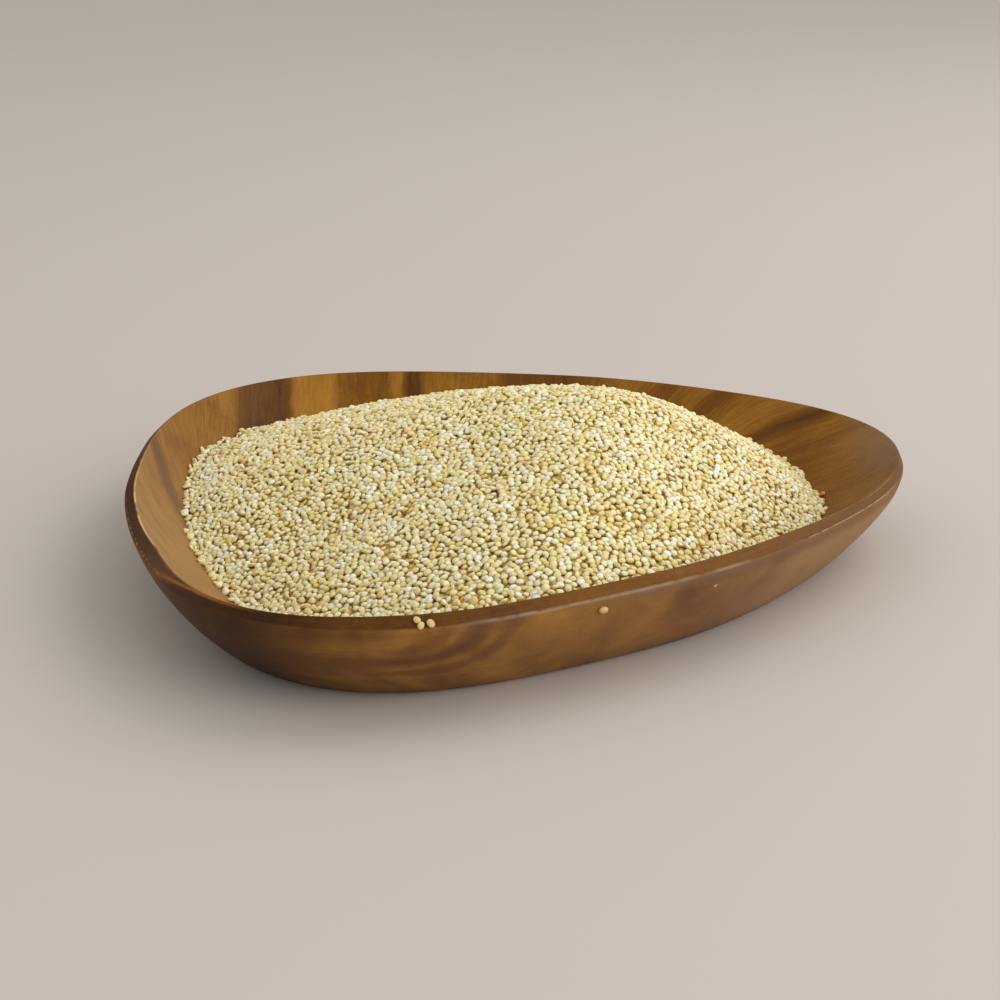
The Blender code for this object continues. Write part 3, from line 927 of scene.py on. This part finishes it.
def sinkCore(piece):
    # below the loose grains, with relief of a grain's size
    editAll(piece)
    bpy.ops.mesh.subdivide(number_cuts=1, smoothness=0.0)
    bpy.ops.object.mode_set(mode="OBJECT")
    points = pointsOf(piece.data)
    normals = np.array([vertex.normal for vertex in piece.data.vertices])
    top = np.clip(normals[:, 2] / heap["coreFade"], 0, 1)
    for at, point in enumerate(points):
        if top[at] > 0:
            gap = noise.voronoi(Vector(point) / heap["coreCell"])[0][0]
            sink = heap["coreDepth"] + heap["coreRelief"] * (gap - 0.5)
            points[at] -= normals[at] * sink * top[at]
    points[:, 2] = np.maximum(points[:, 2], heightAt(woodGrid, points) + heap["coreClear"])
    putPoints(piece.data, points)
    piece.data.materials.clear()
    piece.data.materials.append(coreMaterial())
    piece.data.shade_smooth()


def makeGrains():
    # one piece for each kind of grain
    kinds = list(grainKinds)
    shares = np.array([grainKinds[name]["share"] for name in kinds])
    chosen = draw.choice(len(kinds), len(grainPlaces), p=shares / shares.sum())
    dx, dy = slopeAt(surfaceGrid, grainPlaces)
    lean = np.sqrt(1 + dx ** 2 + dy ** 2)
    normals = np.stack([-dx, -dy, np.ones(len(dx))], axis=1) / lean[:, None]
    sunk = heightAt(surfaceGrid, grainPlaces) - grainPlaces[:, 2]
    depths = np.clip((sunk / lean - heap["topDepth"]) / heap["slab"], 0, 1)
    for number, name in enumerate(kinds):
        kind = grainKinds[name]
        mine = chosen == number
        piece = joinGrains(name, grainPlaces[mine], normals[mine], depths[mine], kind)
        piece.data.materials.append(grainMaterial(name + "Finish", kind["light"], kind["dark"]))
        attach(piece, "root")
        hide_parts("quinoa")
        print(name, int(mine.sum()), "grains")


strays = {
    # spots are in millimetres; each is moved to the nearest wood
    "grains": ((-35.2, -123.1, 29.0), (-34.4, -124.3, 27.8), (-31.8, -124.0, 28.0), (15.1, -112.8, 23.7)),
    "lift": 0.5 * mm, "colours": ("#d0b885", "#b99a63"),
    "seed": {"spot": (110.6, -0.4, 11.3), "size": (1.05 * mm, 0.9 * mm, 0.75 * mm),
             "colours": ("#cf9440", "#a2662a")},
    "speck": {"spot": (109.4, -3.2, 10.6), "size": (0.7 * mm, 0.55 * mm, 0.4 * mm),
              "colours": ("#2e1c0c", "#4a2c12")},
    "lumps": 0.22, "lumpSize": 1.3, "seedNoise": (1400.0, 3.0), "seedMix": (0.35, 0.65),
    "seedRoughness": 0.5, "seedBump": (0.5, 0.2 * mm), "clearOfSeed": 3.0,
    "fringe": 80, "fringeReach": 0.45 * mm, "fringeLimit": 1.2 * mm,
    "searchFrom": 60 * mm, "searchTo": 130 * mm, "leastCover": 0.3 * mm,
}


def restOnWood(spots, lift):
    # places just above the dish nearest to the given ones, in millimetres, and which way is up there
    tree = BVHTree.FromObject(dishPiece, bpy.context.evaluated_depsgraph_get())
    places, normals = [], []
    for spot in spots:
        place, normal, _, _ = tree.find_nearest(Vector(spot) * mm)
        places.append(place + normal * lift)
        normals.append(normal)
    return np.array(places), np.array(normals)


def makeFringe():
    # single grains on the wood just outside the heap's edge
    spots = []
    for bearing in draw.random(strays["fringe"]) * fullTurn:
        way = np.array([math.cos(bearing), math.sin(bearing), 0])
        reach = np.arange(strays["searchFrom"], strays["searchTo"], heap["grid"] / 2)
        line = way * reach[:, None]
        onHeap = heightAt(surfaceGrid, line) - heightAt(woodGrid, line) > strays["leastCover"]
        edge = reach[onHeap].max() + min(draw.exponential(strays["fringeReach"]), strays["fringeLimit"])
        spot = way * edge
        spot[2] = heightAt(woodGrid, spot[None])[0]
        if np.linalg.norm(spot / mm - strays["seed"]["spot"]) > strays["clearOfSeed"]:
            spots.append(spot / mm)
    return restOnWood(spots, strays["lift"])


def makeSeed(name, seed):
    # a seed or speck: a ball pressed to an uneven lump
    deselectAll()
    (place,), (normal,) = restOnWood([seed["spot"]], seed["size"][2])
    bpy.ops.mesh.primitive_ico_sphere_add(subdivisions=3, radius=1.0, location=(0, 0, 0))
    piece = bpy.context.active_object
    piece.name = name
    points = pointsOf(piece.data)
    for at, point in enumerate(points):
        points[at] *= 1 + strays["lumps"] * noise.noise(Vector(point) * strays["lumpSize"])
    points = points * seed["size"]
    turn = np.array(Vector((0, 0, 1)).rotation_difference(Vector(normal)).to_matrix())
    putPoints(piece.data, points @ turn.T + place)
    piece.data.shade_smooth()
    material, start = newMaterial(name + "Finish")
    cloud = start.place().noise(*strays["seedNoise"])
    colour = cloud.between(*strays["seedMix"]).mix(*(paint(code) for code in seed["colours"]))
    finishMaterial(start, {"Base Color": colour, "Roughness": strays["seedRoughness"] + cloud * 0.2,
                           "Normal": cloud.bump(*strays["seedBump"])})
    piece.data.materials.append(material)
    return piece


def makeStrays():
    # the grains at the heap's edge, those on the rim and wall, the seed and the speck
    places, normals = makeFringe()
    kind = grainKinds["strawRound"]
    fringe = joinGrains("edgeGrains", places, normals, np.zeros(len(places)), kind)
    fringe.data.materials.append(bpy.data.materials["strawRoundFinish"])
    spots, ups = restOnWood(strays["grains"], strays["lift"])
    loose = joinGrains("looseGrains", spots, ups, np.zeros(len(spots)), kind)
    loose.data.materials.append(grainMaterial("looseFinish", *strays["colours"]))
    seed = makeSeed("brownSeed", strays["seed"])
    speck = makeSeed("darkSpeck", strays["speck"])
    for piece in (fringe, loose, seed, speck):
        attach(piece, "root")
        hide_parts("quinoa")
    print("stray pieces:", len(places) + len(spots), "grains")


sinkCore(corePiece)
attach(corePiece, "root")
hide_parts("quinoa")
makeGrains()
makeStrays()
bpy.data.objects.remove(grainModel)


stage = {
    "floorSize": 12.0, "floorColour": "#bdb4ac", "floorShade": "#b4aca4", "floorMix": 0.3,
    "floorNoise": (3.0, 2.0), "floorRoughness": 0.75,
    "keyPower": 8.3, "keySize": 1.3, "keyPlace": (1.05, 0.30, 1.05),
    "fillPower": 10.0, "fillSize": 1.2, "fillPlace": (0.85, -1.05, 0.60),
    "skyStrength": 0.765, "skyColour": (1.0, 0.98, 0.955, 1.0),
    "cameraPlace": (-0.08558, -0.61433, 0.2257), "lookAt": (0.01296, 0.05298, 0.0),
    "roll": -1.5, "lens": 50.0, "sensor": 24.0, "clipStart": 10 * mm,
}


def makeFloor():
    deselectAll()
    bpy.ops.mesh.primitive_plane_add(size=stage["floorSize"], location=(0, 0, 0))
    floor = bpy.context.active_object
    floor.name = "floor"
    material, start = newMaterial("paleFloor")
    share = start.place().noise(*stage["floorNoise"]) * stage["floorMix"]
    colour = share.mix(paint(stage["floorColour"]), paint(stage["floorShade"]))
    finishMaterial(start, {"Base Color": colour, "Roughness": stage["floorRoughness"]})
    floor.data.materials.append(material)


def addLight(name, place, size, power):
    light = bpy.data.lights.new(name, "AREA")
    light.shape = "DISK"
    light.size = size
    light.energy = power
    lamp = newObject(name, light)
    lamp.location = place
    lamp.rotation_euler = (-Vector(place)).to_track_quat("-Z", "Y").to_euler()


def addSky():
    world = bpy.data.worlds.new("softSky")
    world.use_nodes = True
    sky = world.node_tree.nodes["Background"]
    sky.inputs["Color"].default_value = stage["skyColour"]
    sky.inputs["Strength"].default_value = stage["skyStrength"]
    bpy.context.scene.world = world


def addCamera():
    lens = bpy.data.cameras.new("camera")
    lens.lens = stage["lens"]
    lens.sensor_width = stage["sensor"]
    lens.clip_start = stage["clipStart"]
    camera = newObject("camera", lens)
    camera.location = stage["cameraPlace"]
    look = Vector(stage["lookAt"]) - Vector(stage["cameraPlace"])
    camera.rotation_mode = "QUATERNION"
    roll = Quaternion((0, 0, 1), math.radians(stage["roll"]))
    camera.rotation_quaternion = look.to_track_quat("-Z", "Y") @ roll
    bpy.context.scene.camera = camera


makeFloor()
addLight("window", stage["keyPlace"], stage["keySize"], stage["keyPower"])
addLight("fill", stage["fillPlace"], stage["fillSize"], stage["fillPower"])
addSky()
addCamera()
bpy.context.scene.view_settings.view_transform = "Standard"

print("object made")
